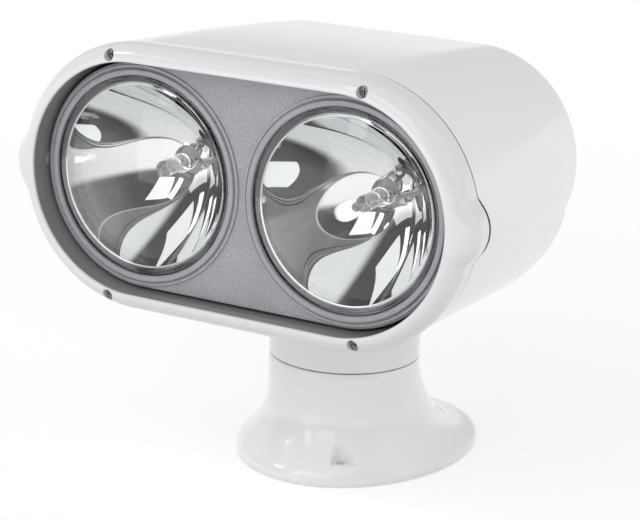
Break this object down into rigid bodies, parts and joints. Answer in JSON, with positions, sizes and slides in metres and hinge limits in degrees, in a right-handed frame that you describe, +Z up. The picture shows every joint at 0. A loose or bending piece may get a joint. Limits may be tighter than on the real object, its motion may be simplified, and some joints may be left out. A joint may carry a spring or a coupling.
{
  "type": "marine searchlight",
  "caption": "Remote-controlled deck searchlight: a white housing with sealed-beam lamps side by side that pans on an oval foot, its lamp plate tilting in the bezel.",
  "frame": {"origin": "on the pan axis at deck level, on the underside of the deck gasket", "axes": "+Z up along the pan axis; the lamps face -Y; +X to the right of someone who looks at the lamps"},
  "size_m": [0.2842, 0.2365, 0.2536],
  "materials": {
    "foot_white": "glossy moulded, UV-stable",
    "shell_white": "glossy moulded, UV-stable",
    "bezel_white": "glossy moulded, UV-stable",
    "black_rubber": "matte",
    "grey_plastic": "matte",
    "bush_plastic": "bearing plastic",
    "screw_steel": "stainless",
    "turned_steel": "turned",
    "motor_steel": "plated cans",
    "pinion_brass": "cut",
    "lamp_plate": "sand-blasted silver paint",
    "trim_silver": "satin",
    "lens_glass": "clear",
    "lamp_mirror": "aluminised glass",
    "burner_quartz": "clear quartz",
    "burner_ceramic": "matte"
  },
  "bodies": {
    "base": {"base_pedestal": "foot_white", "deck_gasket": "black_rubber", "base_cover": "grey_plastic", "cover_screws": "screw_steel", "cable_grommet": "black_rubber", "pan_bush": "bush_plastic", "neck_seal": "black_rubber", "pan_motor": "motor_steel", "pan_motor_screws": "screw_steel", "pan_stop_pin": "turned_steel"},
    "pan_drive": {"pan_pinion": "pinion_brass"},
    "head": {"head_shell": "shell_white", "front_bezel": "bezel_white", "bezel_gasket": "black_rubber", "bezel_screws": "screw_steel", "pan_spindle": "turned_steel", "spindle_screws": "screw_steel", "pan_gear": "bush_plastic", "gear_clip": "turned_steel", "pivot_bushes": "bush_plastic", "tilt_bracket": "turned_steel", "bracket_screws": "screw_steel", "tilt_motor": "motor_steel", "tilt_motor_screws": "screw_steel"},
    "tilt_drive": {"tilt_pinion": "pinion_brass"},
    "lamps": {"lamp_carrier": "lamp_plate", "pivot_pins": "turned_steel", "tilt_sector": "bush_plastic", "sector_screws": "screw_steel", "trim_ring_left": "trim_silver", "trim_ring_right": "trim_silver", "lamp_gaskets": "black_rubber", "lens_left": "lens_glass", "lens_right": "lens_glass", "mirror_left": "lamp_mirror", "mirror_right": "lamp_mirror", "burner_left": "burner_quartz", "burner_right": "burner_quartz", "burner_supports": "burner_ceramic", "lamp_terminals": "pinion_brass"}
  },
  "joints": [
    {"name": "pan", "type": "hinge", "parent": "base", "child": "head", "pos_m": [0, 0, 0.061], "axis": [0, 0, 1], "range_deg": [-170, 170]},
    {"name": "pan_pinion_spin", "type": "hinge", "parent": "base", "child": "pan_drive", "pos_m": [0, 0.0256, 0.0371], "axis": [0, 0, 1], "range_deg": [-320, 320]},
    {"name": "tilt", "type": "hinge", "parent": "head", "child": "lamps", "pos_m": [0, -0.115, 0.18], "axis": [1, 0, 0], "range_deg": [-15, 15]},
    {"name": "tilt_pinion_spin", "type": "hinge", "parent": "head", "child": "tilt_drive", "pos_m": [0, -0.0219, 0.18], "axis": [1, 0, 0], "range_deg": [-150, 150]}
  ],
  "couplings": [
    {"joint": "pan_pinion_spin", "follows": "pan", "ratio": -1.8333},
    {"joint": "tilt_pinion_spin", "follows": "tilt", "ratio": -9.3333}
  ]
}
